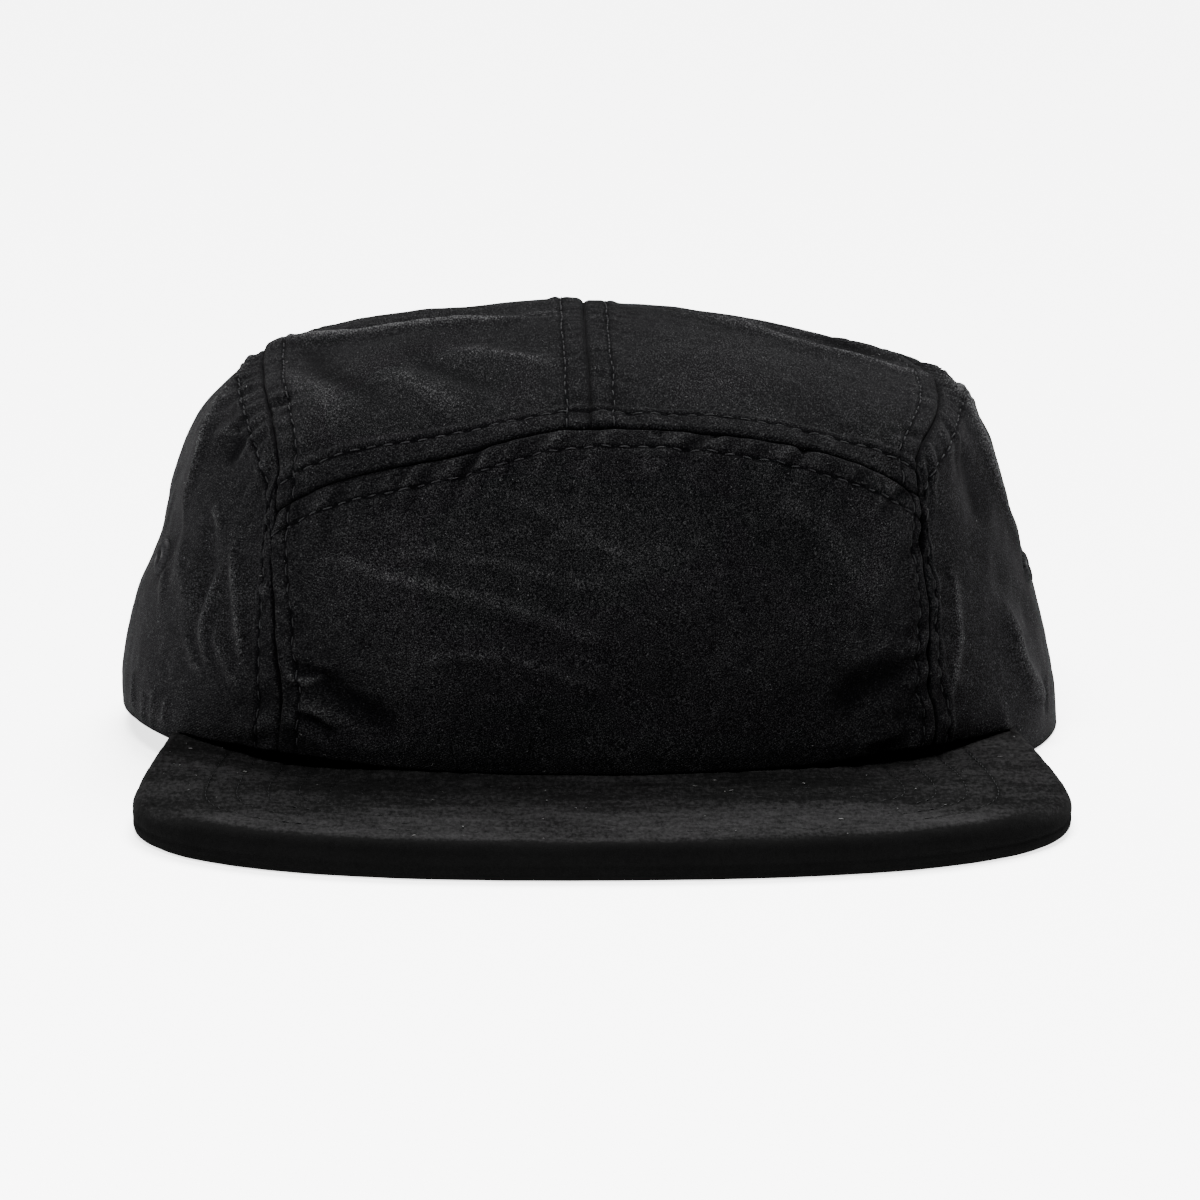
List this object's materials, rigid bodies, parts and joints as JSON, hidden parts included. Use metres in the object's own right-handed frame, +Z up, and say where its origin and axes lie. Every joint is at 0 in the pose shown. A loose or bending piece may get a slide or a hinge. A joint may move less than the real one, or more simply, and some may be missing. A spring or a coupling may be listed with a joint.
{
  "type": "five-panel camp cap",
  "caption": "Soft panelled camp cap with a flat suede brim, side eyelets, double topstitched seams and an adjustable back strap.",
  "frame": {"origin": "on the surface that the cap rests on, below the middle of its outer box", "axes": "+Z up, brim towards -Y, back strap towards +Y, the wearer's left side towards +X"},
  "size_m": [0.1911, 0.2486, 0.085],
  "materials": {
    "cloth": "brushed fine twill, soft and matte",
    "suede": "suede with a short streaky nap",
    "thread": "polyester sewing thread",
    "webbing": "woven flat webbing",
    "buckle": "satin moulded plastic"
  },
  "bodies": {
    "root": {"front_panel": "cloth", "top_panel_left": "cloth", "top_panel_right": "cloth", "side_panel_left": "cloth", "side_panel_right": "cloth", "brim": "suede", "eyelet_left": "thread", "eyelet_right": "thread", "back_strap": "webbing", "strap_buckle": "buckle"}
  },
  "joints": []
}
